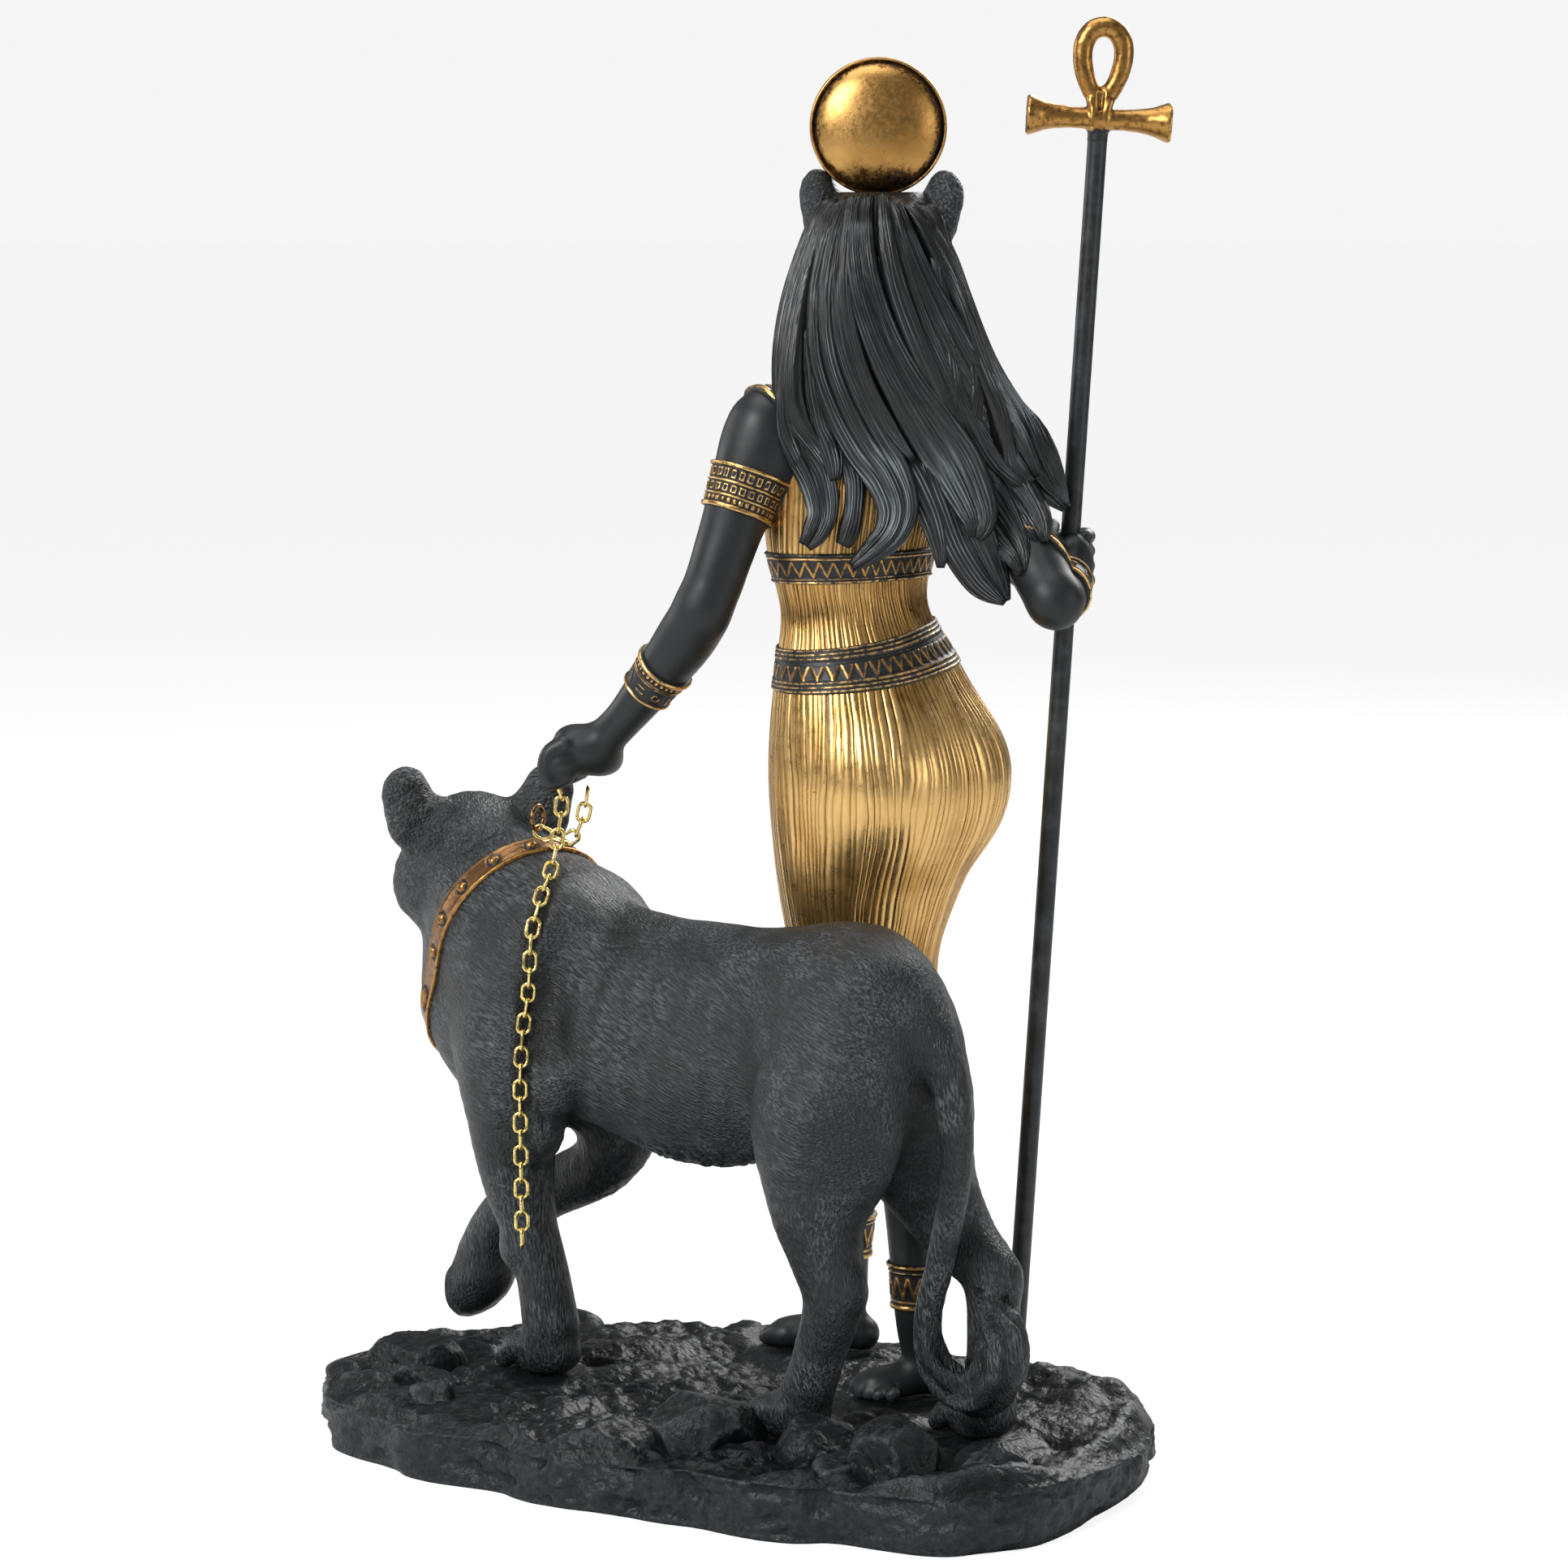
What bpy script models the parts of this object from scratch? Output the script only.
# Figurine of a lion-headed goddess beside a lioness, on a rock base, with an ankh staff and a chain lead.
# Blender units are metres and +Z is up. Sizes are written in millimetres and turned to metres by MM.
# The statue's frame: origin at the middle of the base's underside, +X the way the lioness walks, -Y the front.
# The goddess and the staff are laid out as seen from behind, x right and y away, and then turned into place.

import math

import bmesh
import bpy
from mathutils import Matrix, Vector
from mathutils.bvhtree import BVHTree

MM = 0.001
GAP = 0.3                      # clearance between pieces that touch

# Driving dimensions
BASE_TOP = 12.6                # usual height of the rock's top
BASE_RIM = 10.0                # height of the rock's upper edge
GODDESS_FRAME = (-12.0, 17.8, 212.0)    # x, y and turn of the view from behind her
LIONESS_FRAME = (0.0, 6.7, -9.0)        # x, y and turn of the lioness's middle line
STAFF_FOOT = (55.2, 32.0, 13.1)
STAFF_CROSS = (70.4, 34.0, 263.4)
STAFF_R = 1.85
LINK_LONG = 4.75
LINK_WIDE = 3.2
LINK_WIRE = 0.62
LINK_PITCH = 3.33
LINK_COUNT = 29                # links hanging from the fist
LEAD_COUNT = 6                 # links from the ring on the collar up to the fist
RING_R = 2.45
RING_WIRE = 0.9

# The base's edge: direction from the middle in degrees, and distance
BASE_EDGE = [
    (0, 83.5), (16, 88.5), (28, 83.0), (46, 68.5), (68, 55.5), (90, 52.0), (112, 54.5), (136, 67.5),
    (153, 84.5), (164, 87.5), (181, 85.0), (198, 84.0), (214, 82.0), (229, 69.0), (250, 57.0), (268, 53.0),
    (300, 54.0), (327, 65.0), (348, 77.0),
]

# What each foot stands on: frame, x, y, height of the rock, and radius of its flat
FOOT_PADS = {
    "lioness_left_hind": (LIONESS_FRAME, -28.5, 12.0, 12.5, 9.5),
    "lioness_right_hind": (LIONESS_FRAME, -56.0, -12.0, 12.5, 9.5),
    "lioness_left_fore": (LIONESS_FRAME, 38.0, 9.0, 13.0, 9.5),
    "goddess_left_foot": (GODDESS_FRAME, 34.5, 14.5, 13.2, 12.5),
    "goddess_right_foot": (GODDESS_FRAME, 15.5, 56.5, 12.5, 12.5),
    "staff_foot": (GODDESS_FRAME, 55.2, 32.0, 12.7, 3.0),
}

# Boulders: x, y, height of the middle, half sizes, turn in degrees
BOULDERS = [
    (-10.0, 33.5, 14.0, 9.0, 6.0, 7.0, 20),
    (-44.5, 33.0, 12.0, 6.5, 5.5, 5.0, 50),
    (-36.5, 37.5, 11.0, 5.0, 4.5, 4.5, 10),
    (-63.0, 22.0, 11.5, 6.0, 4.5, 4.0, 35),
    (56.0, 26.0, 11.5, 6.5, 4.5, 4.0, -15),
    (70.0, 12.0, 11.5, 6.0, 5.0, 4.5, 30),
]

# Triangles each casting keeps
GODDESS_TRIANGLES = 2900
LIONESS_TRIANGLES = 2300


def point(x, y, z):
    return Vector((x, y, z)) * MM


def new_object(name, bm, material, parent=None):
    """An object from a bmesh, with its material."""
    mesh = bpy.data.meshes.new(name)
    bm.to_mesh(mesh)
    bm.free()
    mesh.materials.append(material)
    made = bpy.data.objects.new(name, mesh)
    bpy.context.scene.collection.objects.link(made)
    made.parent = parent
    return made


def make_material(name, colour, roughness, metallic):
    made = bpy.data.materials.new(name)
    made.use_nodes = True
    shader = made.node_tree.nodes["Principled BSDF"]
    shader.inputs["Base Color"].default_value = (*colour, 1.0)
    shader.inputs["Roughness"].default_value = roughness
    shader.inputs["Metallic"].default_value = metallic
    made.diffuse_color = (*colour, 1.0)
    return made


def in_statue(frame, x, y):
    """A place given in a figure's frame, in the statue's."""
    a = math.radians(frame[2])
    return frame[0] + x * math.cos(a) - y * math.sin(a), frame[1] + x * math.sin(a) + y * math.cos(a)


def make_frame(name, x, y, turn):
    """An empty that places what is parented to it."""
    empty = bpy.data.objects.new(name, None)
    bpy.context.scene.collection.objects.link(empty)
    empty.location = point(x, y, 0)
    empty.rotation_euler.z = math.radians(turn)
    return empty


def smooth_stations(stations, steps):
    """Catmull-Rom through rows of numbers, so a few stations make a curved limb."""
    rows = [stations[0], *stations, stations[-1]]
    out = []
    for k in range(1, len(rows) - 2):
        a, b, c, d = rows[k - 1:k + 3]
        for i in range(steps):
            t = i / steps
            out.append([
                q + 0.5 * ((r - p) * t + (2 * p - 5 * q + 4 * r - s) * t ** 2 + (3 * q - p - 3 * r + s) * t ** 3)
                for p, q, r, s in zip(a, b, c, d)
            ])
    return out + [list(stations[-1])]


def skin_rings(bm, rings):
    """Faces between rings of points, closed by a fan at each end."""
    loops = [[bm.verts.new(p) for p in ring] for ring in rings]
    for lower, upper in zip(loops, loops[1:]):
        for i in range(len(lower)):
            j = (i + 1) % len(lower)
            bm.faces.new((lower[i], lower[j], upper[j], upper[i]))
    for loop, flip in ((loops[0], True), (loops[-1], False)):
        bm.faces.new(loop[::-1] if flip else loop)


def add_limb(bm, stations, sides=10, steps=4):
    """A round limb through stations of x, y, z, radius, with rounded ends."""
    rows = smooth_stations(stations, steps)
    spine = [Vector(row[:3]) for row in rows]
    radii = [row[3] for row in rows]
    first, last = spine[0] - spine[1], spine[-1] - spine[-2]
    first, last = first.normalized() * radii[0], last.normalized() * radii[-1]
    spine = [spine[0] + first * 0.85, spine[0] + first * 0.45, *spine, spine[-1] + last * 0.45, spine[-1] + last * 0.85]
    radii = [radii[0] * 0.5, radii[0] * 0.88, *radii, radii[-1] * 0.88, radii[-1] * 0.5]
    side = (spine[1] - spine[0]).orthogonal().normalized()
    rings = []
    for k, centre in enumerate(spine):
        along = (spine[min(k + 1, len(spine) - 1)] - spine[max(k - 1, 0)]).normalized()
        side = (side - along * side.dot(along)).normalized()
        other = along.cross(side)
        rings.append([
            (centre + (side * math.cos(a) + other * math.sin(a)) * radii[k]) * MM
            for a in (2 * math.pi * i / sides for i in range(sides))
        ])
    skin_rings(bm, rings)


def add_trunk(bm, stations, sides=18, steps=3):
    """An upright form through stations of x, y, z, half width, half depth, turn, widest side first."""
    rows = smooth_stations(stations, steps)
    rings = []
    for x, y, z, wide, deep, turn in rows:
        spin = Matrix.Rotation(math.radians(turn), 3, "Z")
        rings.append([
            (Vector((x, y, z)) + spin @ Vector((wide * math.cos(a), deep * math.sin(a), 0))) * MM
            for a in (2 * math.pi * i / sides for i in range(sides))
        ])
    if rows[0][2] > rows[-1][2]:
        rings.reverse()
    skin_rings(bm, rings)


def add_ball(bm, centre, radii, turn=0.0, tilt=0.0):
    """An ellipsoid: half sizes along x, y, z, tilted about y and then turned about z."""
    spin = Matrix.Rotation(math.radians(turn), 4, "Z") @ Matrix.Rotation(math.radians(tilt), 4, "Y")
    size = Matrix.Diagonal((*[r * MM for r in radii], 1.0))
    bmesh.ops.create_uvsphere(
        bm, u_segments=16, v_segments=10, radius=1.0,
        matrix=Matrix.Translation(point(*centre)) @ spin @ size)


def add_modifier(target, kind, **settings):
    made = target.modifiers.new(kind.title(), kind)
    for key, value in settings.items():
        setattr(made, key, value)
    return made


def apply_modifiers(target):
    """The evaluated mesh becomes the object's own, so that its faces can be counted."""
    graph = bpy.context.evaluated_depsgraph_get()
    mesh = bpy.data.meshes.new_from_object(target.evaluated_get(graph))
    target.modifiers.clear()
    target.data = mesh


def fuse(target, voxel, rounds, triangles):
    """Grows overlapping forms into one skin, softens it and thins it to about so many triangles."""
    add_modifier(target, "REMESH", mode="VOXEL", voxel_size=voxel * MM)
    add_modifier(target, "SMOOTH", factor=0.5, iterations=rounds)
    apply_modifiers(target)
    faces = sum(len(p.vertices) - 2 for p in target.data.polygons)
    add_modifier(target, "DECIMATE", decimate_type="COLLAPSE", ratio=triangles / faces)
    apply_modifiers(target)


def as_cutter(name, bm, parent=None):
    made = new_object(name, bm, bpy.data.materials["black_resin"], parent)
    made.hide_render = True
    made.display_type = "WIRE"
    return made


def cut(target, cutter, operation="DIFFERENCE"):
    add_modifier(target, "BOOLEAN", operation=operation, object=cutter, solver="EXACT")


# The base

def rock_height(x, y):
    """Height of the rock's top at a place, flat where a foot stands."""
    height = BASE_TOP + 1.1 * math.sin(0.11 * x + 0.6) * math.cos(0.13 * y - 0.4)
    height += 0.7 * math.sin(0.31 * x - 0.23 * y)
    for frame, pad_x, pad_y, top, radius in FOOT_PADS.values():
        pad_x, pad_y = in_statue(frame, pad_x, pad_y)
        away = math.hypot(x - pad_x, y - pad_y)
        share = min(1.0, max(0.0, (radius + 5.0 - away) / 5.0))
        height += (top - height) * share * share * (3 - 2 * share)
    return height


def base_radius(angle):
    """Distance from the middle to the base's edge, eased between the measured directions."""
    turn = math.degrees(angle) % 360
    stations = [*BASE_EDGE, (BASE_EDGE[0][0] + 360, BASE_EDGE[0][1])]
    for (a, near), (b, far) in zip(stations, stations[1:]):
        if a <= turn <= b:
            share = (turn - a) / (b - a)
            share = share * share * (3 - 2 * share)
            return near + (far - near) * share + 0.7 * math.sin(9 * angle + 1.7)
    return BASE_EDGE[0][1]


def make_base(material):
    spokes, shares = 40, (0.2, 0.42, 0.62, 0.8, 0.92)
    edge_rows = ((0.985, 1.0), (1.0, 0.72), (1.0, 0.3), (0.98, 0.0))
    bm = bmesh.new()
    rings = []
    for share in shares:
        ring = []
        for i in range(spokes):
            angle = 2 * math.pi * i / spokes
            r = base_radius(angle) * share
            x, y = r * math.cos(angle), r * math.sin(angle)
            ring.append(point(x, y, rock_height(x, y)))
        rings.append(ring)
    for share, level in edge_rows:
        ring = []
        for i in range(spokes):
            angle = 2 * math.pi * i / spokes
            r = base_radius(angle) * share
            x, y = r * math.cos(angle), r * math.sin(angle)
            rim = BASE_RIM + 0.9 * math.sin(3 * angle + 1.0) + 0.5 * math.sin(7 * angle)
            ring.append(point(x, y, rim * level))
        rings.append(ring)
    loops = [[bm.verts.new(p) for p in ring] for ring in rings]
    for inner, outer in zip(loops, loops[1:]):
        for i in range(spokes):
            j = (i + 1) % spokes
            bm.faces.new((inner[i], outer[i], outer[j], inner[j]))
    middle = bm.verts.new(point(0, 0, rock_height(0, 0)))
    for i in range(spokes):
        bm.faces.new((middle, loops[0][i], loops[0][(i + 1) % spokes]))
    bm.faces.new(loops[-1][::-1])
    bmesh.ops.triangulate(bm, faces=[f for f in bm.faces if len(f.verts) == 4])
    base = new_object("rock_base", bm, material)
    for n, (x, y, z, long, wide, tall, turn) in enumerate(BOULDERS):
        rock = bmesh.new()
        spin = Matrix.Rotation(math.radians(turn), 4, "Z")
        size = Matrix.Diagonal((long * MM, wide * MM, tall * MM, 1.0))
        bmesh.ops.create_icosphere(
            rock, subdivisions=1, radius=1.12, matrix=Matrix.Translation(point(x, y, z)) @ spin @ size)
        cut(base, as_cutter(f"boulder_{n + 1}", rock), "UNION")
    return base


# The goddess, seen from behind: x right, y away from the viewer. A turn of 0 faces away, 90 faces left.

PELVIS_TURN = 48.0
CHEST_TURN = 25.0
HEAD = (27.3, 33.0, 237.0)

DRESS = [
    # x, y, z, half width, half depth, turn
    (28.0, 33.5, 55.0, 23.0, 11.5, 106),
    (27.8, 33.0, 66.0, 20.5, 12.0, 103),
    (26.5, 32.0, 82.0, 16.5, 13.5, 92),
    (25.0, 31.5, 98.0, 15.5, 14.5, 70),
    (26.0, 31.0, 112.0, 19.0, 17.5, 55),
    (28.0, 31.0, 124.0, 23.0, 20.0, PELVIS_TURN),
    (28.6, 31.0, 137.0, 24.5, 21.0, PELVIS_TURN),
    (27.6, 31.0, 147.0, 23.0, 19.5, PELVIS_TURN),
    (25.6, 31.0, 157.0, 19.5, 16.0, 42),
    (23.4, 31.0, 166.0, 15.8, 13.0, 36),
    (22.4, 31.0, 172.0, 15.6, 12.5, 32),
    (22.3, 31.2, 180.0, 17.5, 13.0, 28),
    (23.5, 31.5, 191.0, 19.0, 13.5, CHEST_TURN),
    (24.5, 32.0, 203.0, 20.0, 11.0, CHEST_TURN),
    (25.5, 32.5, 210.0, 12.0, 8.0, CHEST_TURN),
]

HAIR = [
    (27.5, 29.0, 250.0, 8.5, 7.0, 0),
    (27.0, 27.0, 243.0, 12.5, 10.5, 0),
    (27.0, 25.0, 233.0, 15.3, 10.5, 0),
    (28.0, 23.0, 221.0, 19.0, 10.0, 4),
    (30.5, 21.0, 208.0, 21.5, 9.0, 8),
    (32.5, 20.0, 197.0, 22.0, 8.0, 12),
    (33.0, 19.5, 188.0, 16.0, 5.5, 14),
]

LOCKS = [
    # each lock runs x, y, z, radius from its root to its tip
    [(24.0, 22.0, 215.0, 5.0), (14.5, 17.0, 198.0, 4.2), (16.0, 15.0, 187.0, 3.0), (14.4, 14.5, 182.0, 1.6)],
    [(24.0, 20.0, 205.0, 4.5), (21.5, 16.5, 192.0, 3.4), (20.5, 16.5, 182.5, 1.6)],
    [(28.0, 21.0, 212.0, 5.5), (29.0, 15.0, 196.0, 4.6), (31.0, 13.5, 186.0, 3.6), (25.0, 13.0, 178.5, 1.5)],
    [(34.0, 21.0, 212.0, 5.5), (41.0, 16.0, 197.0, 4.5), (43.5, 14.5, 186.0, 3.4), (40.0, 14.5, 178.0, 1.6)],
    [(38.0, 22.0, 210.0, 5.0), (46.0, 18.0, 197.0, 4.4), (47.0, 17.0, 185.0, 1.8)],
    [(38.0, 22.0, 206.0, 5.0), (45.0, 18.0, 190.0, 4.5), (50.0, 17.0, 178.0, 3.0), (52.7, 17.0, 172.0, 1.4)],
    [(38.0, 25.0, 226.0, 5.5), (48.0, 23.0, 211.0, 5.0), (56.5, 24.0, 199.0, 3.6), (63.0, 27.0, 191.0, 1.5)],
]

LIMBS = {
    # each runs x, y, z, radius
    "left_arm": [(5.5, 24.5, 204.0, 7.4), (2.0, 23.0, 194.0, 6.8), (-2.0, 21.0, 182.0, 6.2),
                 (-6.0, 20.5, 170.5, 6.0), (-10.0, 23.0, 163.5, 5.9), (-16.0, 28.0, 154.5, 5.0),
                 (-22.5, 33.0, 146.0, 4.1), (-26.0, 35.5, 142.0, 4.6)],
    "right_arm": [(43.0, 38.0, 204.0, 7.2), (48.5, 33.0, 193.0, 6.6), (55.5, 24.0, 182.0, 6.0),
                  (60.5, 16.0, 172.5, 5.6), (62.0, 17.5, 171.0, 5.5), (64.0, 25.0, 173.0, 4.9),
                  (65.0, 31.0, 175.5, 4.5)],
    "left_leg": [(31.0, 24.0, 74.0, 8.0), (33.5, 18.5, 56.0, 6.4), (34.8, 15.5, 43.0, 5.0),
                 (34.8, 15.0, 33.0, 4.0), (35.5, 15.2, 25.0, 3.7), (37.0, 15.5, 18.5, 4.0)],
    "right_leg": [(24.0, 43.0, 74.0, 8.0), (23.0, 49.0, 56.0, 6.4), (22.4, 53.0, 43.0, 5.0),
                  (22.2, 54.0, 33.0, 4.0), (22.0, 54.2, 25.0, 3.7), (21.0, 54.5, 18.5, 4.0)],
    "left_foot": [(42.0, 16.0, 16.6, 3.7), (36.5, 15.3, 17.2, 4.1), (30.0, 13.8, 15.8, 3.8), (26.5, 12.8, 15.2, 3.0)],
    "right_foot": [(25.0, 53.0, 16.0, 3.7), (19.5, 55.0, 16.6, 4.1), (12.0, 57.5, 15.2, 3.8), (7.0, 59.0, 14.6, 3.0)],
    "neck": [(25.5, 32.0, 206.0, 8.5), (26.5, 32.5, 216.0, 7.5), (27.0, 33.0, 226.0, 8.5)],
}


def facing(centre, turn, ahead, side, up):
    """A place given from a form's middle: ahead of it, to its right, and above."""
    a = math.radians(turn)
    return (centre[0] - ahead * math.sin(a) + side * math.cos(a),
            centre[1] + ahead * math.cos(a) + side * math.sin(a),
            centre[2] + up)


def make_goddess(material, parent):
    bm = bmesh.new()
    add_trunk(bm, DRESS)
    add_trunk(bm, HAIR)
    for lock in LOCKS:
        add_limb(bm, lock, sides=8)
    for limb in LIMBS.values():
        add_limb(bm, limb)
    pelvis, chest = (28.0, 31.0, 134.0), (23.5, 31.5, 190.0)
    for side in (-1, 1):
        add_ball(bm, facing(pelvis, PELVIS_TURN, -8.5, side * 8.5, 0.0), (13.5, 13.5, 15.0))
        add_ball(bm, facing(chest, CHEST_TURN, 9.0, side * 8.5, 0.0), (7.2, 7.2, 7.2))
        add_ball(bm, facing(HEAD, 0, -2.0, side * 12.6, 10.5), (4.0, 3.4, 6.0))
        add_ball(bm, facing(HEAD, 0, 12.0, side * 3.0, -5.0), (4.4, 6.0, 4.2))
        add_ball(bm, facing(HEAD, 0, 4.0, side * 7.0, -4.0), (6.0, 7.0, 7.5))
    add_ball(bm, HEAD, (12.0, 12.5, 12.5))
    add_ball(bm, facing(HEAD, 0, 12.0, 0.0, -8.5), (4.6, 5.5, 4.5))
    add_ball(bm, facing(HEAD, 0, 11.0, 0.0, 1.0), (3.8, 7.5, 4.6))
    # fists
    add_ball(bm, (-30.8, 38.0, 138.3), (8.0, 6.5, 6.0), 20, 30)
    add_ball(bm, (64.5, 34.5, 177.3), (6.3, 6.0, 6.9), 20)
    goddess = new_object("goddess", bm, material, parent)
    fuse(goddess, 1.1, 3, GODDESS_TRIANGLES)
    disc = bmesh.new()
    turned_disc(disc)
    cut(goddess, as_cutter("disc_form", disc, parent), "UNION")
    staff_hole = bmesh.new()
    foot, cross = Vector(STAFF_FOOT), Vector(STAFF_CROSS)
    add_rod(staff_hole, foot.lerp(cross, 0.5), foot.lerp(cross, 0.8), STAFF_R + GAP, 12)
    cut(goddess, as_cutter("staff_clearance", staff_hole, parent))
    cut(goddess, sole_cutter("goddess_soles", ("goddess_left_foot", "goddess_right_foot")))
    return goddess


def turned_disc(bm):
    """The sun disc: a shallow double dome with a rim, upright, facing the viewer."""
    centre, radius = (27.3, 30.0, 261.8), 13.0
    dome = [(1.0, 0.8), (0.93, 1.2), (0.8, 1.7), (0.45, 3.1)]
    profile = [(share, -depth) for share, depth in reversed(dome)] + dome
    middle_depth = 3.6
    sides = 24
    rows = []
    for share, depth in profile:
        rows.append([bm.verts.new(point(centre[0] + radius * share * math.cos(a), centre[1] + depth,
                                        centre[2] + radius * share * math.sin(a)))
                     for a in (2 * math.pi * i / sides for i in range(sides))])
    ends = [bm.verts.new(point(centre[0], centre[1] + side * middle_depth, centre[2])) for side in (-1, 1)]
    for inner, outer in zip(rows, rows[1:]):
        for i in range(sides):
            j = (i + 1) % sides
            bm.faces.new((inner[i], outer[i], outer[j], inner[j]))
    for i in range(sides):
        j = (i + 1) % sides
        bm.faces.new((ends[0], rows[0][i], rows[0][j]))
        bm.faces.new((ends[1], rows[-1][j], rows[-1][i]))
    bmesh.ops.recalc_face_normals(bm, faces=bm.faces)


def add_rod(bm, start, end, radius, sides):
    start, end = Vector(start), Vector(end)
    along = (end - start).normalized()
    side = along.orthogonal().normalized()
    other = along.cross(side)
    ring = [side * math.cos(a) + other * math.sin(a) for a in (2 * math.pi * i / sides for i in range(sides))]
    skin_rings(bm, [[(p + d * radius) * MM for d in ring] for p in (start, end)])


def sole_cutter(name, pads):
    """Blocks that cut feet flat, just above what they stand on, in the statue's frame."""
    bm = bmesh.new()
    for pad in pads:
        frame, pad_x, pad_y, top, radius = FOOT_PADS[pad]
        x, y = in_statue(frame, pad_x, pad_y)
        size = Matrix.Diagonal((2 * (radius + 6) * MM, 2 * (radius + 6) * MM, 12 * MM, 1.0))
        bmesh.ops.create_cube(bm, size=1.0, matrix=Matrix.Translation(point(x, y, top + GAP - 6)) @ size)
    return as_cutter(name, bm)


# The lioness, in her own frame: x ahead, y to her left

HEAD_TURN = -40.0
LIONESS_HEAD = (69.5, -3.0, 113.5)

LIONESS_BALLS = [
    # centre, half sizes, turn, tilt
    ((50.0, 0.0, 84.0), (26.5, 14.5, 23.5), 0, 0),
    ((60.0, 0.0, 92.0), (17.5, 12.5, 20.0), 0, 0),
    ((27.0, 0.0, 87.0), (24.0, 13.5, 22.5), 0, 0),
    ((5.0, 0.0, 82.5), (36.0, 13.5, 24.0), 0, 0),
    ((-33.0, 0.0, 88.0), (22.0, 14.5, 22.0), 0, 0),
    ((-38.0, 0.0, 93.0), (17.5, 12.5, 17.0), 0, 0),
    ((30.0, 6.5, 100.0), (11.0, 6.0, 13.0), 0, 15),
    ((30.0, -6.5, 100.0), (11.0, 6.0, 13.0), 0, 15),
    ((46.0, 9.0, 84.0), (13.0, 7.5, 19.0), 0, 20),
    ((44.0, -9.0, 84.0), (13.0, 7.5, 19.0), 0, 20),
    ((-37.0, 8.0, 80.0), (16.0, 8.5, 24.0), 0, 8),
    ((-41.0, -7.5, 80.0), (16.0, 8.0, 24.0), 0, 14),
]

LIONESS_LIMBS = {
    "neck": [(44.0, 0.0, 98.0, 19.0), (54.0, -0.5, 103.5, 17.5), (63.0, -2.0, 108.5, 15.5)],
    "left_hind": [(-37.0, 10.0, 76.0, 13.0), (-36.5, 12.0, 60.0, 9.8), (-38.5, 12.0, 50.0, 7.6),
                  (-40.0, 12.0, 41.0, 6.2), (-36.5, 12.0, 29.0, 5.4), (-32.0, 12.0, 19.5, 5.6)],
    "right_hind": [(-41.0, -9.0, 76.0, 13.0), (-44.5, -11.5, 61.0, 9.6), (-52.0, -12.0, 51.0, 7.2),
                   (-59.0, -12.0, 44.0, 5.9), (-59.5, -12.0, 31.0, 5.2), (-58.5, -12.0, 19.5, 5.6)],
    "left_fore": [(46.0, 9.5, 78.0, 11.5), (46.0, 10.0, 63.0, 9.3), (44.5, 10.0, 51.0, 7.4),
                  (42.0, 9.5, 42.0, 6.0), (39.0, 9.0, 33.0, 5.7), (36.8, 9.0, 23.0, 6.4)],
    "right_fore": [(44.0, -9.5, 78.0, 11.5), (37.0, -11.0, 63.0, 9.3), (40.0, -10.0, 53.0, 7.0),
                   (53.0, -8.5, 45.5, 6.0), (65.5, -7.0, 39.0, 5.3), (71.0, -6.5, 32.0, 5.6)],
    "tail": [(-47.0, 0.0, 100.0, 6.5), (-55.5, 0.0, 89.5, 4.8), (-60.0, 0.5, 80.5, 3.8), (-60.5, 0.0, 66.5, 3.2),
             (-56.0, -1.0, 48.5, 2.9), (-53.0, -1.0, 37.0, 2.9), (-54.5, -2.0, 27.5, 3.2),
             (-61.0, -3.5, 23.5, 3.9), (-66.5, -5.0, 27.5, 4.6), (-67.0, -6.0, 35.0, 4.0),
             (-64.0, -6.0, 39.5, 2.6)],
}

PAWS = [
    # centre, half sizes, turn, tilt
    ((-28.5, 12.0, 16.8), (9.5, 6.8, 4.8), 3, 0),
    ((-56.0, -12.0, 16.8), (9.5, 6.8, 4.8), -3, 0),
    ((38.5, 9.0, 17.6), (9.5, 7.2, 5.0), 0, 0),
    ((75.0, -6.0, 24.5), (8.5, 6.8, 6.5), 0, 35),
]


def lioness_head(bm):
    """Skull, muzzle, cheeks and ears, turned to her right."""
    for ahead, side, up, radii in (
        (0.0, 0.0, 0.0, (14.0, 13.0, 13.5)), (13.5, 0.0, -4.0, (10.0, 7.5, 7.2)),
        (18.0, 0.0, -9.0, (5.5, 5.5, 3.8)), (2.0, 8.5, -6.5, (9.0, 7.0, 9.5)), (2.0, -8.5, -6.5, (9.0, 7.0, 9.5)),
        (-3.0, 14.0, 13.0, (3.6, 5.8, 7.4)), (-3.0, -14.0, 13.0, (3.6, 5.8, 7.4)),
    ):
        a = math.radians(HEAD_TURN)
        centre = (LIONESS_HEAD[0] + ahead * math.cos(a) + side * math.sin(a),
                  LIONESS_HEAD[1] + ahead * math.sin(a) - side * math.cos(a), LIONESS_HEAD[2] + up)
        add_ball(bm, centre, radii, HEAD_TURN)


def make_lioness(material, parent):
    bm = bmesh.new()
    for centre, radii, turn, tilt in LIONESS_BALLS:
        add_ball(bm, centre, radii, turn, tilt)
    for limb in LIONESS_LIMBS.values():
        add_limb(bm, limb)
    for centre, radii, turn, tilt in PAWS:
        add_ball(bm, centre, radii, turn, tilt)
    lioness_head(bm)
    lioness = new_object("lioness", bm, material, parent)
    fuse(lioness, 1.2, 3, LIONESS_TRIANGLES)
    standing = ("lioness_left_hind", "lioness_right_hind", "lioness_left_fore")
    cut(lioness, sole_cutter("lioness_soles", standing))
    return lioness


# The staff

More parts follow.
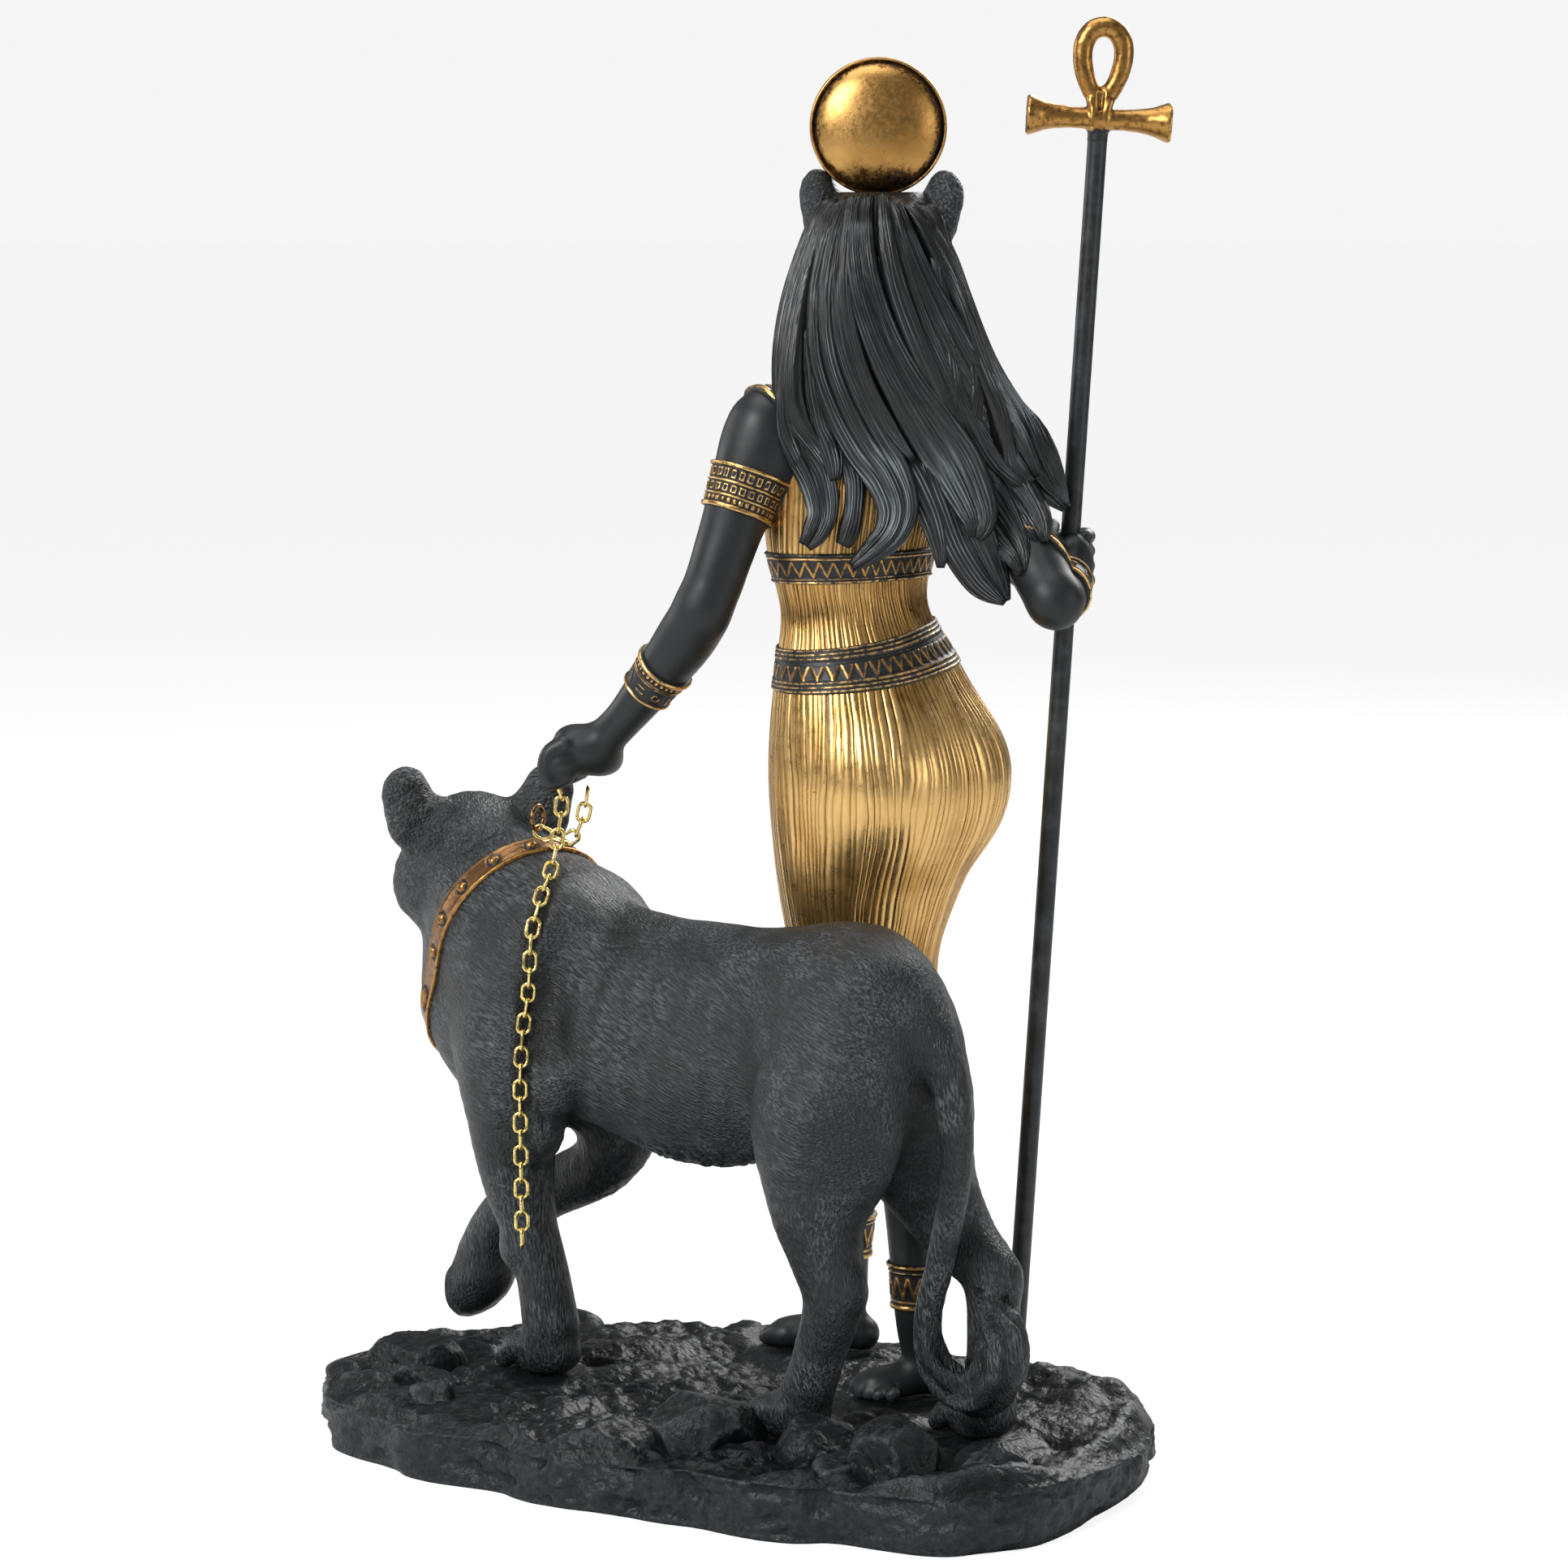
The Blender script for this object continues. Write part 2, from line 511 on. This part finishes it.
def make_staff(material, parent):
    """A round rod with an ankh at its head, modelled upright and then leaned into place."""
    foot, cross = Vector(STAFF_FOOT), Vector(STAFF_CROSS)
    length = (cross - foot).length
    up = (cross - foot).normalized()
    across = (Vector((1, 0, 0)) - up * up.x).normalized()
    lean = Matrix((across, up.cross(across), up)).transposed().to_4x4()
    lean.translation = foot * MM
    bm = bmesh.new()
    add_rod(bm, (0, 0, 0), (0, 0, length + 1.0), STAFF_R, 10)
    staff = new_object("ankh_staff", bm, material, parent)
    staff.matrix_local = lean
    bar = bmesh.new()
    half = 14.1
    profile = [(-half, 3.5), (-half * 0.93, 3.3), (-half * 0.6, 2.4), (-half * 0.25, 2.0), (half * 0.25, 2.0),
               (half * 0.6, 2.4), (half * 0.93, 3.3), (half, 3.5)]
    sides = 12
    skin_rings(bar, [[point(x, r * math.cos(a), length + r * math.sin(a))
                      for a in (2 * math.pi * i / sides for i in range(sides))] for x, r in profile])
    bmesh.ops.recalc_face_normals(bar, faces=bar.faces)
    bar_form = as_cutter("cross_bar_form", bar, parent)
    bar_form.matrix_local = lean
    cut(staff, bar_form, "UNION")
    loop = bmesh.new()
    add_ankh_loop(loop, length)
    loop_form = as_cutter("loop_form", loop, parent)
    loop_form.matrix_local = lean
    cut(staff, loop_form, "UNION")
    return staff


def add_ankh_loop(bm, length, parts=18, sides=6, depth=1.6):
    """The ankh's loop: a closed ring between a drop-shaped outline and the drop-shaped hole in it."""
    rings = []
    for k in range(parts):
        angle = 2 * math.pi * k / parts
        across = math.sin(angle) * (0.55 + 0.225 * (1 - math.cos(angle)))
        outer = Vector((6.9 * across, 0, length + 10.2 - 9.2 * math.cos(angle)))
        inner = Vector((2.9 * across, 0, length + 11.15 - 4.65 * math.cos(angle)))
        middle, half = (outer + inner) / 2, (outer - inner) / 2
        rings.append([bm.verts.new((middle + half * math.cos(a) + Vector((0, depth * math.sin(a), 0))) * MM)
                      for a in (2 * math.pi * i / sides for i in range(sides))])
    for k in range(parts):
        here, there = rings[k], rings[(k + 1) % parts]
        for i in range(sides):
            j = (i + 1) % sides
            bm.faces.new((here[i], here[j], there[j], there[i]))
    bmesh.ops.recalc_face_normals(bm, faces=bm.faces)


# The chain and the ring on the collar, in the view from behind the goddess

CHAIN_PATH = [
    (-34.3, 36.0, 134.8), (-35.0, 36.0, 129.7), (-35.9, 35.5, 123.3), (-36.9, 35.0, 116.2),
    (-38.1, 34.0, 109.4), (-39.2, 33.0, 102.7), (-40.3, 32.0, 95.8), (-41.7, 30.0, 89.0),
    (-42.9, 28.0, 82.5), (-43.4, 26.5, 75.9), (-43.4, 26.0, 68.9), (-43.3, 26.0, 50.0), (-43.0, 26.0, 20.0),
]
LEAD_PATH = [
    (-40.9, 44.4, 122.0), (-37.6, 43.6, 120.4), (-35.0, 42.6, 119.6), (-33.0, 41.4, 120.6),
    (-31.6, 40.3, 123.6), (-30.6, 39.4, 127.6), (-30.0, 38.8, 132.0), (-29.9, 38.6, 137.0),
]
RING_PLACE = (-40.5, 44.4, 124.4)
RING_TURN = 65.0               # degrees between the ring's axis and the line of sight


def surface_tree(source):
    """The finished surface of a piece, for measuring distances in the statue's frame."""
    graph = bpy.context.evaluated_depsgraph_get()
    shaped = source.evaluated_get(graph)
    mesh = bpy.data.meshes.new_from_object(shaped)
    mesh.transform(shaped.matrix_world)
    tree = BVHTree.FromPolygons([v.co.copy() for v in mesh.vertices], [p.vertices[:] for p in mesh.polygons])
    bpy.data.meshes.remove(mesh)
    return tree


def laid_path(stations, trees, clearance):
    """A smooth path through the stations, lifted wherever it comes too near a surface and eased again."""
    path = [point(*in_statue(GODDESS_FRAME, x, y), z) for x, y, z in smooth_stations(stations, 12)]
    for _ in range(6):
        for n, place in enumerate(path):
            for tree in trees:
                near, normal, _, away = tree.find_nearest(place)
                if (place - near).dot(normal) < 0 or away < clearance * MM:
                    place = near + normal * clearance * MM
            path[n] = place
        for _ in range(10):
            path = [path[0], *[(a + b * 2 + c) / 4 for a, b, c in zip(path, path[1:], path[2:])], path[-1]]
    return path


def link_places(path, count):
    """Links between points one pitch apart along a path: the middle and the direction of each."""
    joints = [path[0]]
    for here, there in zip(path, path[1:]):
        while (there - joints[-1]).length >= LINK_PITCH * MM and (here - joints[-1]).length < LINK_PITCH * MM:
            low, high = 0.0, 1.0
            for _ in range(30):
                middle = (low + high) / 2
                if (here.lerp(there, middle) - joints[-1]).length < LINK_PITCH * MM:
                    low = middle
                else:
                    high = middle
            joints.append(here.lerp(there, high))
    return [((a + b) / 2, (b - a).normalized()) for a, b in zip(joints, joints[1:])][:count]


def make_link(name, place, along, flat_normal, material):
    """One cable link: a wire round a stadium, its flat side square to the given direction."""
    half, bend = (LINK_LONG - LINK_WIDE) / 2 * MM, (LINK_WIDE - LINK_WIRE) / 2 * MM
    normal = (flat_normal - along * flat_normal.dot(along)).normalized()
    across = along.cross(normal)
    bm = bmesh.new()
    rings = []
    for k in range(8):
        angle = math.radians(22.5 + 45 * k)
        out = along * math.sin(angle) + across * math.cos(angle)
        centre = place + out * bend * 1.04 + along * math.copysign(half, math.sin(angle))
        rings.append([bm.verts.new(centre + (out * math.cos(a) + normal * math.sin(a)) * LINK_WIRE / 2 * MM)
                      for a in (math.radians(45 + 90 * i) for i in range(4))])
    for k in range(8):
        here, there = rings[k], rings[(k + 1) % 8]
        for i in range(4):
            j = (i + 1) % 4
            bm.faces.new((here[i], here[j], there[j], there[i]))
    bmesh.ops.recalc_face_normals(bm, faces=bm.faces)
    new_object(name, bm, material)


def make_chain(goddess, lioness, material):
    """Links hanging from her fist, links from the fist to the collar, and the collar's ring."""
    trees = [surface_tree(goddess), surface_tree(lioness)]
    a = math.radians(GODDESS_FRAME[2])
    sight = Vector((-math.sin(a), math.cos(a), 0))
    chain = link_places(laid_path(CHAIN_PATH, trees, LINK_WIDE / 2 + 0.8), LINK_COUNT)
    for n, (place, along) in enumerate(chain):
        make_link(f"chain_link_{n + 1:02d}", place, along, sight if n % 2 else along.cross(sight), material)
    lead = link_places(laid_path(LEAD_PATH, trees[1:], LINK_WIDE / 2 + 0.4), LEAD_COUNT)
    for n, (place, along) in enumerate(lead):
        make_link(f"lead_link_{n + 1:02d}", place, along, along.cross(sight) if n % 2 else sight, material)
    axis = Matrix.Rotation(math.radians(RING_TURN), 3, "Z") @ sight
    bm = bmesh.new()
    rings = []
    for k in range(14):
        t = 2 * math.pi * k / 14
        out = Vector((0, 0, 1)) * math.cos(t) + Vector((0, 0, 1)).cross(axis) * math.sin(t)
        centre = point(*in_statue(GODDESS_FRAME, *RING_PLACE[:2]), RING_PLACE[2]) + out * RING_R * MM
        rings.append([bm.verts.new(centre + (out * math.cos(b) + axis * math.sin(b)) * RING_WIRE / 2 * MM)
                      for b in (2 * math.pi * i / 5 for i in range(5))])
    for k in range(14):
        here, there = rings[k], rings[(k + 1) % 14]
        for i in range(5):
            bm.faces.new((here[i], here[(i + 1) % 5], there[(i + 1) % 5], there[i]))
    bmesh.ops.recalc_face_normals(bm, faces=bm.faces)
    new_object("collar_ring", bm, material)


def main():
    for old in list(bpy.data.objects):
        bpy.data.objects.remove(old)
    resin = make_material("black_resin", (0.03, 0.035, 0.037), 0.5, 0.0)
    gilded = make_material("gilded_resin", (0.03, 0.035, 0.037), 0.5, 0.0)
    black = make_material("staff_black", (0.02, 0.022, 0.024), 0.45, 0.0)
    gilt = make_material("gilt_metal", (0.85, 0.62, 0.2), 0.25, 1.0)
    goddess_frame = make_frame("goddess_frame", *GODDESS_FRAME)
    lioness_frame = make_frame("lioness_frame", *LIONESS_FRAME)
    make_base(resin)
    goddess = make_goddess(gilded, goddess_frame)
    lioness = make_lioness(resin, lioness_frame)
    make_staff(black, goddess_frame)
    make_chain(goddess, lioness, gilt)


main()
